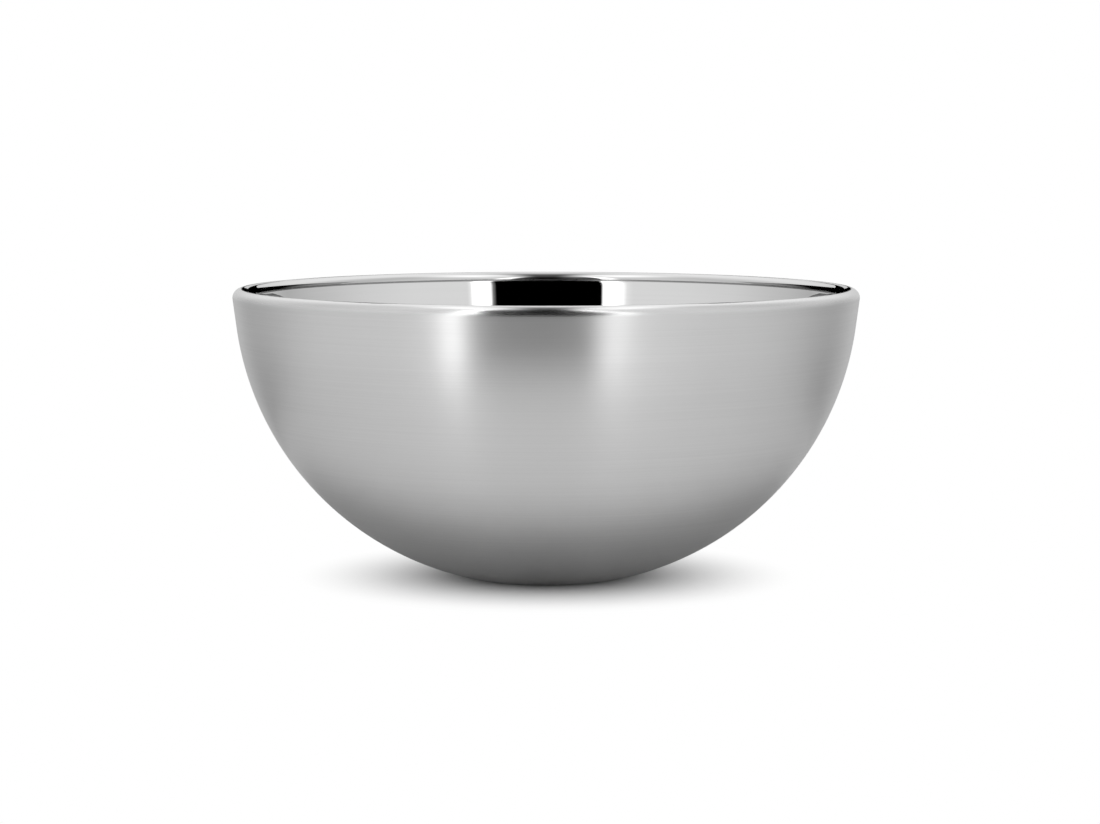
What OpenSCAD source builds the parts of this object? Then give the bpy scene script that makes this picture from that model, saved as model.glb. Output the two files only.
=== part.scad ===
// Double-walled salad bowl: a satin outer shell with its rim rolled inwards, and a polished inner bowl welded to the rolled edge.
// Millimetres. The origin is the centre of the flat that the bowl stands on, and +Z is up.

/* [Outer shell] */
// Widest diameter, just below the top of the rim
rim_d = 280; // [260:1:310]
// Height from the table to the top of the rim
bowl_h = 130; // [120:1:150]
// Diameter of the flat that the bowl stands on
base_d = 64; // [56:1:90]
// Radius that rounds the flat base into the wall
base_corner_r = 20; // [8:1:30]
// Lean of the straight band below the rim, from upright
band_lean = 7.5; // [5:0.5:10]
// Length of the straight band along its slope
band_len = 13; // [8:1:18]
// Radius of the rim's outer half, from the band to its top
rim_outer_r = 4; // [3:0.25:5]

/* [Inner bowl] */
// Thickness of the hollow wall, from the outer face to the inner face
wall_t = 9.3; // [7:0.1:11]
// Radius that rounds the inner bowl's flat bottom into its wall
well_corner_r = 14; // [8:1:24]

/* [Sheet and seam] */
// Thickness of the steel sheet that both shells are drawn from
sheet_t = 0.6; // [0.4:0.1:1]
// Depth of the seam below the top of the rim, on the rim's inner side
seam_drop = 3.7; // [3:0.1:4.5]
// Width of the seam, which the weld closes
weld_w = 0.8; // [0.5:0.1:1.2]
// How far the weld lies back from the faces beside it
weld_sink = 0.25; // [0.1:0.05:0.4]
// How far the weld's root stands out behind the sheets
weld_root = 0.3; // [0.1:0.05:0.5]

/* [Hidden] */
$fn = 180;
// A hair by which one rounded piece of a section laps the next, so that no sliver is left between them
lap = 0.002;

// Outward normal of the straight band, and its direction up the slope
across = [cos(band_lean), -sin(band_lean)];
upward = [sin(band_lean), cos(band_lean)];

// The rim is round over its top circle, where both halves are level.
// Its inner half leaves the inner wall without a corner, with a radius to the nearest micrometre.
rim_r = rim_d / 2;
top_r = rim_r - rim_outer_r;
rim_inner_r = round(1000 * (wall_t - rim_outer_r * (1 + upward.x)) / (1 - upward.x)) / 1000;
outer_c = [top_r, bowl_h - rim_outer_r];
inner_c = [top_r, bowl_h - rim_inner_r];

// The seam runs round the rim's inner side, between the rolled edge above it and the inner bowl's edge below it
rolled_edge_z = bowl_h - seam_drop + weld_w / 2;
bowl_edge_z = rolled_edge_z - weld_w;

// The straight band leaves the rim's outer half without a corner
band_top = outer_c + rim_outer_r * across;
band_foot = band_top - band_len * upward;

// The dished wall is one arc, tangent to the foot of the band and to the base corner
run = band_foot.x - base_d / 2;
rise = band_foot.y - base_corner_r;
dish_r = (run^2 + rise^2 - base_corner_r^2) / (2 * (run * across.x + rise * across.y - base_corner_r));
dish_c = band_foot - dish_r * across;

// Half section of the whole dish within a face that lies inset inside the outer one, up to height top
module dish(inset, corner_r, top) {
    wall_r = dish_r - inset;
    corner_z = inset + corner_r;
    corner_x = dish_c.x + sqrt((wall_r - corner_r)^2 - (dish_c.y - corner_z)^2);
    blend_z = dish_c.y - wall_r * (dish_c.y - corner_z) / (wall_r - corner_r);
    foot = band_foot - (inset + lap) * across;
    brim = foot + (top - foot.y) / upward.y * upward;
    // flat bottom and its corner
    translate([0, inset]) square([corner_x, corner_r]);
    intersection() {
        translate([corner_x, corner_z + lap]) circle(corner_r + lap);
        translate([corner_x, inset]) square(2 * corner_r);
    }
    // dished wall, which the straight band's foot covers
    intersection() {
        translate(dish_c) circle(wall_r);
        translate([0, blend_z]) square([rim_r, foot.y + 1 - blend_z]);
    }
    polygon([[0, foot.y], foot, brim, [0, top]]);
}

// Disc for a rounding of the rim, which laps the wall below it and keeps the height of its top
module rim_disc(centre, r, over) {
    translate(centre - [0, over]) circle(r + over);
}

// Half section filled within the outer shell's face, or within a face inset behind it
module outer_fill(inset) {
    dish(inset, base_corner_r - inset, band_top.y);
    translate([0, outer_c.y]) square([top_r, rim_outer_r - inset]);
    rim_disc(outer_c, rim_outer_r - inset, lap);
}

// Half section filled behind the inside face, up over the rim to its top circle, or behind a face at depth below it
module inner_fill(depth) {
    lip_r = rim_inner_r - depth;
    lip_z = inner_c.y + lip_r * upward.x;
    difference() {
        square([top_r, lip_z]);
        dish(wall_t - depth, well_corner_r + depth, bowl_h);
    }
    intersection() {
        rim_disc(inner_c, lip_r, 2 * lap);
        square([top_r, bowl_h]);
    }
}

// Half section of a layer of the inside, from one depth below its face to another, between two levels
module inner_layer(from_depth, to_depth, from_z, to_z) {
    intersection() {
        difference() {
            inner_fill(from_depth);
            inner_fill(to_depth);
        }
        translate([0, from_z]) square([top_r, to_z - from_z]);
    }
}

// The outer shell: flat base, dished wall, straight band, and the rim rolled over to the edge above the seam
module outer_shell() {
    color("silver") rotate_extrude() {
        difference() {
            outer_fill(0);
            outer_fill(sheet_t);
            translate([0, outer_c.y - rim_outer_r]) square([top_r, bowl_h]);
        }
        inner_layer(0, sheet_t, rolled_edge_z, bowl_h);
    }
}

// The inner bowl: flat bottom, and a wall parallel to the outer one up to the edge below the seam
module inner_bowl() {
    color("gainsboro") rotate_extrude() inner_layer(0, sheet_t, 0, bowl_edge_z);
}

// The weld: a ring that joins the two edges, set back from the faces beside it and with its root proud behind them
module rim_weld() {
    color("darkgray") rotate_extrude() inner_layer(weld_sink, sheet_t + weld_root, bowl_edge_z, rolled_edge_z);
}

outer_shell();
inner_bowl();
rim_weld();
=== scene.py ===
# Double-walled stainless steel salad bowl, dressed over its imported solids: outer shell, inner bowl and rim weld,
# then the table, the light tent and its rail, the lamp, the background and the camera.
# Metres, in the solids' frame: +Z is up, and the origin is the middle of the flat base.
import math

import bpy
import numpy as np
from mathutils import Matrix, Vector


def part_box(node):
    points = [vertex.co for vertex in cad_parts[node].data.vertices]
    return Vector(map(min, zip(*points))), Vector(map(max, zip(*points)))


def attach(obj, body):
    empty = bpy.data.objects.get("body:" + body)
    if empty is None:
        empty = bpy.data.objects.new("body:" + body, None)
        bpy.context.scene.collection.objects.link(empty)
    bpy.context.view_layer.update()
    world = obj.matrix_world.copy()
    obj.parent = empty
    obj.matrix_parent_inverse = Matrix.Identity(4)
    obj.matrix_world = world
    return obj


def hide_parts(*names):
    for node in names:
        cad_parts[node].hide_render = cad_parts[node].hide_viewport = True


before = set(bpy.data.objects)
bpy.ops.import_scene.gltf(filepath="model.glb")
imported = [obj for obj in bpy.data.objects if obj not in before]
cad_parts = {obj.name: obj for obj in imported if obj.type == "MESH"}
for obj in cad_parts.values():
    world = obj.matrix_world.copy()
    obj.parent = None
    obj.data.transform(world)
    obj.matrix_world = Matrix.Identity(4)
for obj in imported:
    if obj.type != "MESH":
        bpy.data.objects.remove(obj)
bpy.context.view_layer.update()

# Outer shell
# The outside of the bowl, drawn from one sheet of stainless steel and brushed to a satin finish as it turns.
# It stands on its small flat base. Its top edge is rolled over into the thick rim and ends at the weld inside it.
SHEET = 0.0006
RIM_R, BOWL_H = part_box("outer_shell")[1][0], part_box("outer_shell")[1][2]
SEAM_FOOT, SEAM_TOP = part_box("rim_weld")[0][2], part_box("rim_weld")[1][2]
BASE_R = 0.032
BASE_CORNER_R = 0.020
BAND_LEAN = math.radians(7.5)
BAND_LEN = 0.013
WALL_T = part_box("inner_bowl")[0][2] + SHEET
ACROSS = np.array([math.cos(BAND_LEAN), -math.sin(BAND_LEAN)])
UPWARD = np.array([math.sin(BAND_LEAN), math.cos(BAND_LEAN)])
# the rim's outer half leaves the band and its inner half leaves the inner wall, and both are level at the top
RIM_OUTER_R = 0.004
RIM_INNER_R = (WALL_T - RIM_OUTER_R * (1 + UPWARD[0])) / (1 - UPWARD[0])
RIM_OUTER_C = np.array([RIM_R - RIM_OUTER_R, BOWL_H - RIM_OUTER_R])
RIM_INNER_C = np.array([RIM_R - RIM_OUTER_R, BOWL_H - RIM_INNER_R])
BAND_TOP = RIM_OUTER_C + RIM_OUTER_R * ACROSS
BAND_FOOT = BAND_TOP - BAND_LEN * UPWARD
# the dish is one arc, tangent to the foot of the straight band and to the base corner
to_foot = BAND_FOOT - [BASE_R, BASE_CORNER_R]
DISH_R = (to_foot @ to_foot - BASE_CORNER_R ** 2) / (2 * (to_foot @ ACROSS - BASE_CORNER_R))
DISH_C = BAND_FOOT - DISH_R * ACROSS
# the longest steps between points along a section, and the number of steps round the bowl
FLAT_STEP, CORNER_STEP, DISH_STEP, BAND_STEP, RIM_STEP = 0.004, 0.001, 0.0024, 0.0016, 0.0003
STEPS_ROUND = 360
# a point with a smaller radius lies on the axis, and an edge with a greater bend is shaded sharp
ON_AXIS = 1e-9
CREASE = math.radians(40)


def arc(centre, radius, start, end, step):
    """Points (radius, height) on a circle about centre, from one angle to another, at most step apart along it."""
    count = math.ceil(abs(end - start) * radius / step) + 1
    angle = np.linspace(start, end, count)[:, None]
    return np.asarray(centre) + radius * np.hstack([np.cos(angle), np.sin(angle)])


def line(start, end, step):
    """Points (radius, height) along a straight line, at most step apart."""
    count = math.ceil(np.linalg.norm(np.subtract(end, start)) / step) + 1
    return np.linspace(start, end, count)


def wall_face(inset, corner_r):
    """Half section of a wall face that lies inset inside the bowl's outer face, from the axis to the band's top.

    A level bottom, a corner arc, the dish arc about the same centre as the outer one, and the straight band,
    each tangent to the next.
    """
    wall_r = DISH_R - inset
    corner_z = inset + corner_r
    corner_x = DISH_C[0] + math.sqrt((wall_r - corner_r) ** 2 - (DISH_C[1] - corner_z) ** 2)
    blend = math.atan2(corner_z - DISH_C[1], corner_x - DISH_C[0])
    return np.vstack([
        line([0, inset], [corner_x, inset], FLAT_STEP)[:-1],
        arc([corner_x, corner_z], corner_r, -math.pi / 2, blend, CORNER_STEP)[:-1],
        arc(DISH_C, wall_r, blend, -BAND_LEAN, DISH_STEP)[:-1],
        line(BAND_FOOT - inset * ACROSS, BAND_TOP - inset * ACROSS, BAND_STEP),
    ])


def inner_side(height, depth):
    """Angle on the rim's inner arc, at a depth below its face, of the point at that height."""
    return math.pi - math.asin((height - RIM_INNER_C[1]) / (RIM_INNER_R - depth))


def outer_line(depth):
    """Half section of the outer shell at a depth below its satin face: the wall, then the rim down to the weld."""
    return np.vstack([
        wall_face(depth, BASE_CORNER_R - depth)[:-1],
        arc(RIM_OUTER_C, RIM_OUTER_R - depth, -BAND_LEAN, math.pi / 2, RIM_STEP)[:-1],
        arc(RIM_INNER_C, RIM_INNER_R - depth, math.pi / 2, inner_side(SEAM_TOP, depth), RIM_STEP),
    ])


def placed(name, data):
    """A new object that holds a mesh, a lamp or a camera, linked into the scene."""
    thing = bpy.data.objects.new(name, data)
    bpy.context.collection.objects.link(thing)
    return thing


def formed(name, points, faces):
    """A new mesh object with those points and faces."""
    mesh = bpy.data.meshes.new(name)
    mesh.from_pydata(points, [], faces)
    return placed(name, mesh)


def turned(name, section):
    """A mesh object whose section of (radius, height) points is carried round the upright axis.

    A point goes to (radius cos t, radius sin t, height) at each angle t. A section that starts and ends on the
    axis is closed there by a fan of triangles; any other is joined end to start into a ring. The UV map gives
    the angle as a share of a turn, and the distance along the section in metres.
    """
    poles = section[0, 0] < ON_AXIS
    first = int(poles)
    rings = section[1:-1] if poles else section
    path = section if poles else np.vstack([section, section[:1]])
    along = np.append(0, np.cumsum(np.linalg.norm(np.diff(path, axis=0), axis=1)))
    angle = np.arange(STEPS_ROUND) * 2 * np.pi / STEPS_ROUND
    flat = rings[:, None, :1] * np.stack([np.cos(angle), np.sin(angle)], axis=-1)
    heights = np.repeat(rings[:, None, 1:], STEPS_ROUND, axis=1)
    points = np.concatenate([flat, heights], axis=-1).reshape(-1, 3)
    # each quad runs round, then along the section, which turns its face outwards
    row, column = np.meshgrid(np.arange(len(rings) - first), np.arange(STEPS_ROUND), indexing="ij")
    here, after = row * STEPS_ROUND, (row + 1) % len(rings) * STEPS_ROUND
    beside = (column + 1) % STEPS_ROUND
    quads = np.stack([here + column, here + beside, after + beside, after + column], axis=-1)
    faces = quads.reshape(-1, 4).tolist()
    share = np.stack([column, column + 1, column + 1, column], axis=-1) / STEPS_ROUND
    start, end = along[row + first], along[row + first + 1]
    uv = np.stack([share, np.stack([start, start, end, end], axis=-1)], axis=-1).reshape(-1, 2)
    if poles:
        column = np.arange(STEPS_ROUND)
        beside = (column + 1) % STEPS_ROUND
        last = (len(rings) - 1) * STEPS_ROUND
        low_pole, high_pole = np.full(STEPS_ROUND, len(points)), np.full(STEPS_ROUND, len(points) + 1)
        points = np.vstack([points, [0, 0, section[0, 1]], [0, 0, section[-1, 1]]])
        faces += np.stack([low_pole, beside, column], axis=-1).tolist()
        faces += np.stack([last + column, last + beside, high_pole], axis=-1).tolist()
        left, middle, right = (column + np.array([[0], [0.5], [1]])) / STEPS_ROUND
        low_fan = (middle, right, left), along[[0, 1, 1]]
        high_fan = (left, right, middle), along[[-2, -2, -1]]
        for shares, ends in (low_fan, high_fan):
            fan = np.stack([np.stack(shares, axis=-1), np.tile(ends, (STEPS_ROUND, 1))], axis=-1)
            uv = np.vstack([uv, fan.reshape(-1, 2)])
    piece = formed(name, points.tolist(), faces)
    piece.data.uv_layers.new(name="turning").data.foreach_set("uv", uv.astype(np.float32).ravel())
    piece.data.shade_smooth()
    piece.data.set_sharp_from_angle(angle=CREASE)
    return piece


outer_shell = turned("satin_outer_shell", np.vstack([outer_line(0), outer_line(SHEET)[::-1]]))


def feed(node, *links):
    """Gives inputs of the node, by name or number, a plain value or another node's output."""
    for key, source in links:
        if isinstance(source, bpy.types.NodeSocket):
            node.id_data.links.new(source, node.inputs[key])
        else:
            node.inputs[key].default_value = source


def wire(tree, kind, *links, **values):
    """A new node of that kind in the tree, with its attributes set by name and its inputs fed."""
    node = tree.nodes.new(kind)
    for key, value in values.items():
        setattr(node, key, value)
    feed(node, *links)
    return node


def sums(operation, *values):
    """Output of a Math node that works on the values, in the tree of the outputs among them."""
    tree = next(value.id_data for value in values if isinstance(value, bpy.types.NodeSocket))
    return wire(tree, "ShaderNodeMath", *enumerate(values), operation=operation).outputs[0]


def slope(value, low, high, start=0.0, end=1.0, kind="LINEAR"):
    """A level that goes with the value from start, at low and below it, straight to end, at high and above it."""
    limits = ("From Min", low), ("From Max", high), ("To Min", start), ("To Max", end)
    return wire(value.id_data, "ShaderNodeMapRange", ("Value", value), *limits, interpolation_type=kind).outputs[0]


def rise(value, low, high, start=0.0, end=1.0):
    """A smooth step of the value from start, at low and below it, to end, at high and above it."""
    return slope(value, low, high, start, end, "SMOOTHSTEP")


def lathe_lines():
    """Node group: the fine rings that a turning brush or polishing wheel leaves, broken into long arcs.

    Noise is stretched along the ring by reading the piece's X and Y coarsely, and its distance along the section
    finely.
    """
    group = bpy.data.node_groups.new("lathe lines", "ShaderNodeTree")
    for name, way in (("Lines per metre", "INPUT"), ("Breaks per metre", "INPUT"), ("Lines", "OUTPUT")):
        group.interface.new_socket(name, in_out=way, socket_type="NodeSocketFloat")
    per_metre, breaks = group.nodes.new("NodeGroupInput").outputs[:2]
    place = wire(group, "ShaderNodeTexCoord").outputs
    x, y, _ = wire(group, "ShaderNodeSeparateXYZ", (0, place["Object"])).outputs
    travel = wire(group, "ShaderNodeSeparateXYZ", (0, place["UV"])).outputs["Y"]
    across = [sums("MULTIPLY", value, rate) for value, rate in ((x, breaks), (y, breaks), (travel, per_metre))]
    stretched = wire(group, "ShaderNodeCombineXYZ", *enumerate(across)).outputs[0]
    noise = wire(group, "ShaderNodeTexNoise", ("Vector", stretched), ("Scale", 1.0), ("Detail", 3.0),
                 ("Roughness", 0.65))
    wire(group, "NodeGroupOutput", (0, noise.outputs[0]))
    return group


LATHE_LINES = lathe_lines()
# the noise of the lines lies mostly between these levels
FAINT, STRONG = 0.3, 0.7
# turns the stretch of a brushed highlight across the lines
QUARTER_TURN = 0.25


def finish(name):
    """A new material with a node tree."""
    material = bpy.data.materials.new(name)
    material.use_nodes = True
    return material


def steel(name, lines_per_metre, breaks_per_metre, brushed=0.0):
    """A turned metal: its material, its Principled shader and its lathe lines.

    Brushed is how far the lines stretch its highlights. A finish that isn't brushed keeps them round.
    """
    material = finish(name)
    shader = material.node_tree.nodes["Principled BSDF"]
    feed(shader, ("Metallic", 1.0))
    if brushed:
        feed(shader, ("Anisotropic", brushed), ("Anisotropic Rotation", QUARTER_TURN))
    lines = wire(material.node_tree, "ShaderNodeGroup", ("Lines per metre", lines_per_metre),
                 ("Breaks per metre", breaks_per_metre), node_tree=LATHE_LINES)
    return material, shader, lines.outputs[0]


satin, shader, lines = steel("satin steel", lines_per_metre=1500, breaks_per_metre=6, brushed=0.86)
tone = slope(lines, FAINT, STRONG, 0.685, 0.715)
rough = slope(lines, FAINT, STRONG, 0.345, 0.325)
# the brushing fades out over the rim's outer rounding, and from its top inwards it was polished with the inner
# bowl: where each fade starts and ends, as a distance from the rim's top, and the tone and roughness after it
RIM_FADES = (-0.0066, -0.0038, 0.86, 0.19), (-0.0010, 0.0010, 0.78, 0.03)
face_length = np.linalg.norm(np.diff(outer_line(0), axis=0), axis=1).sum()
TO_TOP = face_length - RIM_INNER_R * (inner_side(SEAM_TOP, 0) - math.pi / 2)
place = wire(satin.node_tree, "ShaderNodeTexCoord").outputs["UV"]
travel = wire(satin.node_tree, "ShaderNodeSeparateXYZ", (0, place)).outputs["Y"]
for start, end, bright, smooth in RIM_FADES:
    polished = rise(travel, TO_TOP + start, TO_TOP + end)
    tone = slope(polished, 0, 1, tone, bright)
    rough = slope(polished, 0, 1, rough, smooth)
bump = wire(satin.node_tree, "ShaderNodeBump", ("Height", lines), ("Strength", 0.03), ("Distance", 0.0001))
feed(shader, ("Base Color", tone), ("Roughness", rough), ("Normal", bump.outputs[0]))
outer_shell.data.materials.append(satin)
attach(outer_shell, "root")
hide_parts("outer_shell")

# Inner bowl
# The inside of the bowl, drawn from a second sheet of the same steel and polished to a mirror.
# Its wall runs parallel to the outer shell with air between them, and its edge meets the rolled rim at the weld.
WELL_CORNER_R = 0.014
# points of the wall that lie nearer than this to the rim's arc are left out
JOIN_GAP = 0.0004


def inner_line(depth):
    """Half section of the inner bowl at a depth behind its bright face: the wall, then the rim up to the weld."""
    wall = wall_face(WALL_T - depth, WELL_CORNER_R + depth)
    edge = arc(RIM_INNER_C, RIM_INNER_R - depth, math.pi - BAND_LEAN, inner_side(SEAM_FOOT, depth), RIM_STEP)
    return np.vstack([wall[wall[:, 1] < edge[0, 1] - JOIN_GAP], edge])


inner_bowl = turned("mirror_inner_bowl", np.vstack([inner_line(SHEET), inner_line(0)[::-1]]))

mirror, shader, lines = steel("mirror steel", lines_per_metre=700, breaks_per_metre=9)
tone = slope(lines, FAINT, STRONG, 0.77, 0.79)
rough = slope(lines, FAINT, STRONG, 0.02, 0.024)
feed(shader, ("Base Color", tone), ("Roughness", rough))
inner_bowl.data.materials.append(mirror)
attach(inner_bowl, "root")
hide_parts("inner_bowl")

# Rim weld
# The bead that joins the two sheets' edges all round on the rim's inner side, ground down until it lies a little
# below them. Its steel is painted darker than the sheets, as painted shade for the crease of its sunk groove.
# Behind the sheets its root stands proud inside the hollow wall.
WELD_SINK = 0.00025
WELD_ROOT = 0.0003
WELD_STEP = 0.0001


def weld_line(depth):
    """Half section of one side of the weld, an arc at a depth below the rim's face, from its foot to its top."""
    foot, top = inner_side(SEAM_FOOT, depth), inner_side(SEAM_TOP, depth)
    return arc(RIM_INNER_C, RIM_INNER_R - depth, foot, top, WELD_STEP)


rim_weld = turned("sunk_rim_weld", np.vstack([weld_line(SHEET + WELD_ROOT), weld_line(WELD_SINK)[::-1]]))

ground, shader, lines = steel("ground weld with painted shade", lines_per_metre=4000, breaks_per_metre=20, brushed=0.6)
# painted shade: the weld's tone is kept dark to stand for the shade in its sunk groove
tone = slope(lines, FAINT, STRONG, 0.32, 0.40)
rough = slope(lines, FAINT, STRONG, 0.22, 0.28)
feed(shader, ("Base Color", tone), ("Roughness", rough))
rim_weld.data.materials.append(ground)
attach(rim_weld, "root")
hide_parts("rim_weld")

# Table
# A round white table top, matt and lit from above, which lies a little to the front of the bowl and carries its
# soft shadow. Away from the bowl it fades into the plain white of the background, so that its edge doesn't show.
TABLE_R = 0.31
TABLE_Y = -0.07
TABLE_CORNERS = 128
TABLE_TONE = 0.9
# where the table fades into white: away from the bowl for the lens, and towards its front for the steel, which
# still mirrors the shadow
FADE = 0.025, 0.115
FRONT_FADE = 0.18, 0.33
WHITE = 1, 1, 1, 1
angle = np.linspace(0, 2 * np.pi, TABLE_CORNERS, endpoint=False)
edge = np.stack([TABLE_R * np.cos(angle), TABLE_Y + TABLE_R * np.sin(angle), np.zeros(TABLE_CORNERS)], axis=-1)
table = formed("table_top", edge.tolist(), [range(TABLE_CORNERS)])
matt_white = finish("white table")
tree = matt_white.node_tree
paint = tree.nodes["Principled BSDF"]
feed(paint, ("Base Color", (TABLE_TONE, TABLE_TONE, TABLE_TONE, 1)), ("Roughness", 0.9),
     ("Specular IOR Level", 0.0))
place = wire(tree, "ShaderNodeTexCoord").outputs["Object"]
reach = wire(tree, "ShaderNodeVectorMath", (0, place), operation="LENGTH").outputs["Value"]
forward = sums("MULTIPLY", wire(tree, "ShaderNodeSeparateXYZ", (0, place)).outputs["Y"], -1.0)
rays = wire(tree, "ShaderNodeLightPath").outputs
direct = sums("MAXIMUM", rays["Is Camera Ray"], rays["Is Transmission Ray"])
seen_white = sums("MULTIPLY", rise(reach, *FADE), direct)
mirrored_white = sums("MULTIPLY", rise(forward, *FRONT_FADE), rays["Is Glossy Ray"])
blank = wire(tree, "ShaderNodeEmission", ("Color", WHITE), ("Strength", 1.0)).outputs[0]
faded = wire(tree, "ShaderNodeMixShader", (0, sums("MAXIMUM", seen_white, mirrored_white)),
             (1, paint.outputs[0]), (2, blank))
feed(tree.nodes["Material Output"], ("Surface", faded.outputs[0]))
table.data.materials.append(matt_white)

# Light tent
# The white cloth tent round the table, which the steel mirrors. In front it has a dark slot for the lens, with a
# bright strip down each side. The slot runs on up over the roof between two bright bands, and fades out towards
# the back, which glows upwards.
TENT_R = 3.0
bpy.ops.mesh.primitive_uv_sphere_add(segments=96, ring_count=48, radius=TENT_R, location=(0, 0, 0))
tent = bpy.context.object
tent.name = "light_tent"
tent.data.shade_smooth()


def only_mirrored(thing):
    """Lets only mirror rays see the thing: it isn't in the picture, and neither lights nor shades the table."""
    for ray in ("camera", "diffuse", "transmission", "volume_scatter", "shadow"):
        setattr(thing, "visible_" + ray, False)


def ramp(angle, low, high, stops):
    """A level that follows an angle in degrees from low to high, straight from stop to stop (degrees, level)."""
    node = wire(angle.id_data, "ShaderNodeValToRGB", ("Fac", slope(angle, low, high)))
    steps = node.color_ramp.elements
    while len(steps) < len(stops):
        steps.new(0.5)
    for element, (degrees, level) in zip(steps, stops):
        element.position = (degrees - low) / (high - low)
        element.color = (level, level, level, 1)
    return node.outputs[0]


def dimmed(light, share):
    """The light less that share of it."""
    return sums("MULTIPLY", light, sums("SUBTRACT", 1.0, share))


def lantern(strength):
    """Makes a material, in whose cleared tree the strength is, give off plain white light of that strength."""
    light = wire(strength.id_data, "ShaderNodeEmission", ("Color", WHITE), ("Strength", strength)).outputs[0]
    wire(strength.id_data, "ShaderNodeOutputMaterial", ("Surface", light))


only_mirrored(tent)
cloth = finish("tent cloth")
tree = cloth.node_tree
tree.nodes.clear()
# direction from the bowl: toward is to the lens, azimuth is 0 there and grows to the right
place = wire(tree, "ShaderNodeTexCoord").outputs["Object"]
aim = wire(tree, "ShaderNodeVectorMath", (0, place), operation="NORMALIZE").outputs[0]
xyz = wire(tree, "ShaderNodeSeparateXYZ", (0, aim)).outputs
toward = sums("MULTIPLY", xyz["Y"], -1.0)
aside = sums("ABSOLUTE", xyz["X"])
azimuth = sums("DEGREES", sums("ARCTAN2", xyz["X"], toward))
elevation = sums("DEGREES", sums("ARCSINE", xyz["Z"]))
round_back = sums("ABSOLUTE", azimuth)
# the slot and the cloth beside it lean to the left, the more the further they are above or below this elevation
UPRIGHT_AT = 20.0
LEAN = 0.19
off_upright = sums("ABSOLUTE", sums("SUBTRACT", UPRIGHT_AT, elevation))
slanted = sums("ADD", azimuth, sums("MULTIPLY", off_upright, LEAN))
left_cloth = [(-180, 0.62), (-160, 0.62), (-146, 0.57), (-134, 0.51), (-118, 0.6), (-105, 0.66), (-84, 0.77),
              (-60, 0.83), (-36, 0.85)]
left_strip = [(-33.5, 0.97), (-31, 1.6), (-29, 2.4), (-23.4, 2.4)]
slot = [(-22.6, 0.0), (23.8, 0.0)]
right_strip = [(24.6, 1.9), (32.5, 1.9)]
right_cloth = [(34, 0.85), (60, 0.84), (84, 0.77), (105, 0.66), (118, 0.6), (134, 0.51), (146, 0.57), (160, 0.62),
               (180, 0.62)]
cloth_wall = ramp(slanted, -180, 180, left_cloth + left_strip + slot + right_strip + right_cloth)
upper = sums("MULTIPLY", cloth_wall, rise(elevation, 15, 40, 1.0, 0.78))
walls = sums("ADD", upper, rise(elevation, 22, 55, 0.0, 0.08))
# low down the cloth is darker round the sides and back, and lighter at the foot of the slot
shade = sums("MULTIPLY", rise(round_back, 95, 135, 0.0, 0.6), rise(elevation, -25, -2, 1.0, 0.0))
foot = sums("MULTIPLY", rise(toward, 0.5, 0.85, 0.0, 0.15), rise(elevation, -20, -4, 1.0, 0.0))
shaded = sums("ADD", dimmed(walls, shade), foot)
glow = sums("MULTIPLY", rise(round_back, 95, 155, 0.0, 0.42), rise(elevation, 5, 40))
# the walls pass into the roof with its two bands, and the split is cut out of both
roof = ramp(elevation, 0, 90, [(0, 0.78), (50, 0.78), (66, 0.92), (80, 1.15), (90, 1.15)])
bands = sums("MULTIPLY", rise(aside, 0.18, 0.28, 0.0, 0.7), rise(aside, 0.45, 0.6, 1.0, 0.0))
open_up = rise(elevation, 60, 84)
above = sums("MULTIPLY", sums("ADD", roof, bands), open_up)
whole = sums("ADD", glow, sums("ADD", dimmed(shaded, open_up), above))
over_middle = sums("MULTIPLY", rise(aside, 0.03, 0.18, 0.92, 0.0), rise(xyz["Y"], 0.1, 0.8, 1.0, 0.0))
split = sums("MULTIPLY", over_middle, rise(elevation, 15, 40))
lantern(dimmed(whole, split))
tent.data.materials.append(cloth)
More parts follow.
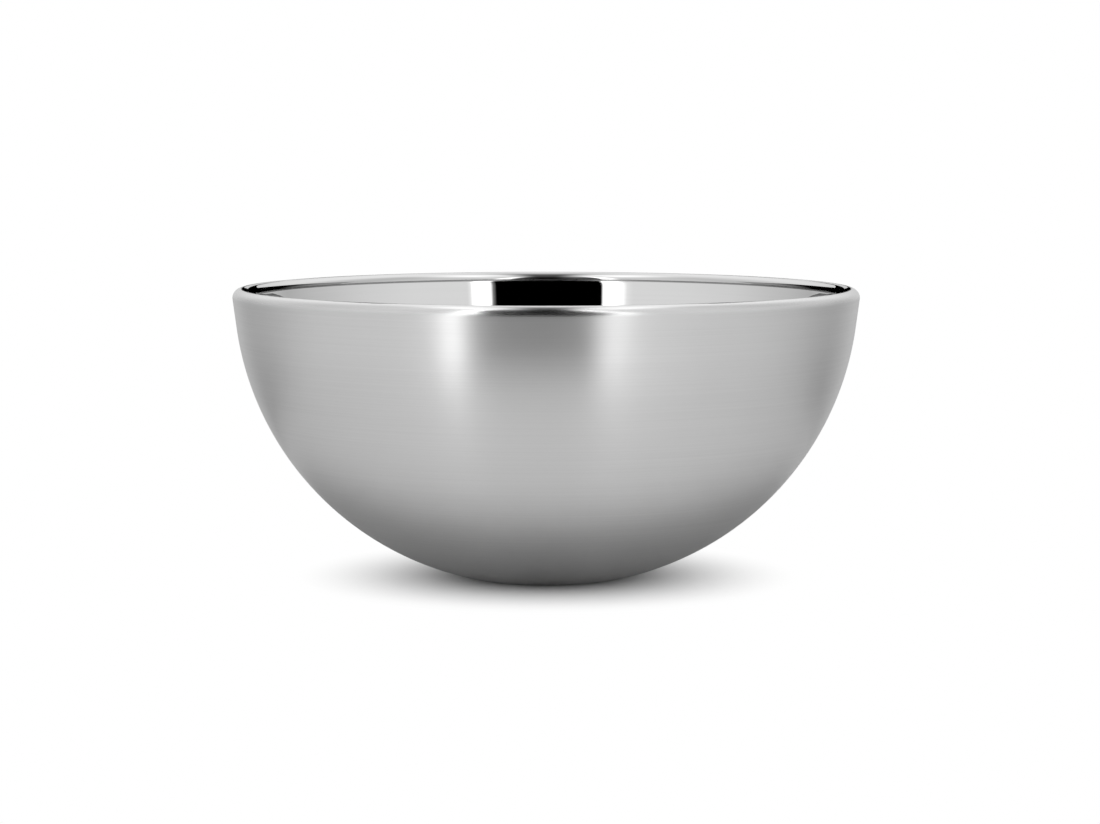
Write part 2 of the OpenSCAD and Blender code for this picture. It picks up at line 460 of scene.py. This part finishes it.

# Tent rail
# The dark rail behind the bowl that holds up the tent's back: a flat bar on each side, which runs back and rises,
# and a wider plate across their far ends. It is black, and its near ends glow a little as painted light.
RAIL_X = 0.12
RAIL_NEAR, RAIL_FAR = 0.14, 1.6
side_bar = [(RAIL_X, RAIL_NEAR, 0.190), (RAIL_X, RAIL_FAR, 0.260),
            (RAIL_X, RAIL_FAR, 0.520), (RAIL_X, RAIL_NEAR, 0.315)]
half_plate = [(0.30, RAIL_FAR, 0.130), (0.30, RAIL_FAR, 0.245), (0.16, RAIL_FAR, 0.285), (RAIL_X, RAIL_FAR, 0.520)]


def other_side(points):
    """The points mirrored to the other side of the bowl."""
    return [(-x, y, z) for x, y, z in points]


corners = side_bar + other_side(side_bar) + half_plate + other_side(half_plate[::-1])
rail = formed("tent_rail", corners, [range(0, 4), range(4, 8), range(8, 16)])
only_mirrored(rail)
black = finish("dark rail")
tree = black.node_tree
tree.nodes.clear()
place = wire(tree, "ShaderNodeTexCoord").outputs["Object"]
back = wire(tree, "ShaderNodeSeparateXYZ", (0, place)).outputs["Y"]
# painted light: the near ends glow as if they caught light, and the glow fades to black towards the back
lantern(rise(back, 0.15, 0.36, 0.32, 0.0))
rail.data.materials.append(black)

# Lamp
# A soft round lamp above the front of the table, tilted back towards the bowl.
# It lights the table top and leaves the bowl's soft shadow there. Neither the lens nor the steel sees it.
lamp = placed("soft_lamp", bpy.data.lights.new("soft_lamp", "AREA"))
lamp.data.shape = "DISK"
lamp.data.size = 0.34
lamp.data.energy = 3.2
lamp.location = (0, -0.33, 0.72)
lamp.rotation_euler = (math.radians(18), 0, 0)
lamp.visible_camera = False
lamp.visible_glossy = False

# Background
# Plain white behind the table for the lens, and also where steel or glass would show it.
# For everything else it is a weaker plain light from all round.
FILL = 0.3
world = bpy.data.worlds.new("white room")
bpy.context.scene.world = world
world.use_nodes = True
rays = wire(world.node_tree, "ShaderNodeLightPath").outputs
through = sums("MAXIMUM", rays["Is Glossy Ray"], rays["Is Transmission Ray"])
seen = sums("MAXIMUM", rays["Is Camera Ray"], through)
feed(world.node_tree.nodes["Background"], ("Color", WHITE), ("Strength", slope(seen, 0, 1, FILL, 1.0)))
bpy.context.scene.view_settings.view_transform = "Standard"

# Camera
# A long lens 1.4 m in front of the bowl and 8 cm above its rim, which looks down by 5.5 degrees.
# It stands 2 mm to the right of the bowl's axis.
camera = placed("camera", bpy.data.cameras.new("camera"))
camera.data.sensor_width = 36
camera.data.lens = 102.27
camera.location = (0.00172, -1.4, 0.2077)
camera.rotation_euler = (math.radians(90 - 5.464), 0, 0)
bpy.context.scene.camera = camera
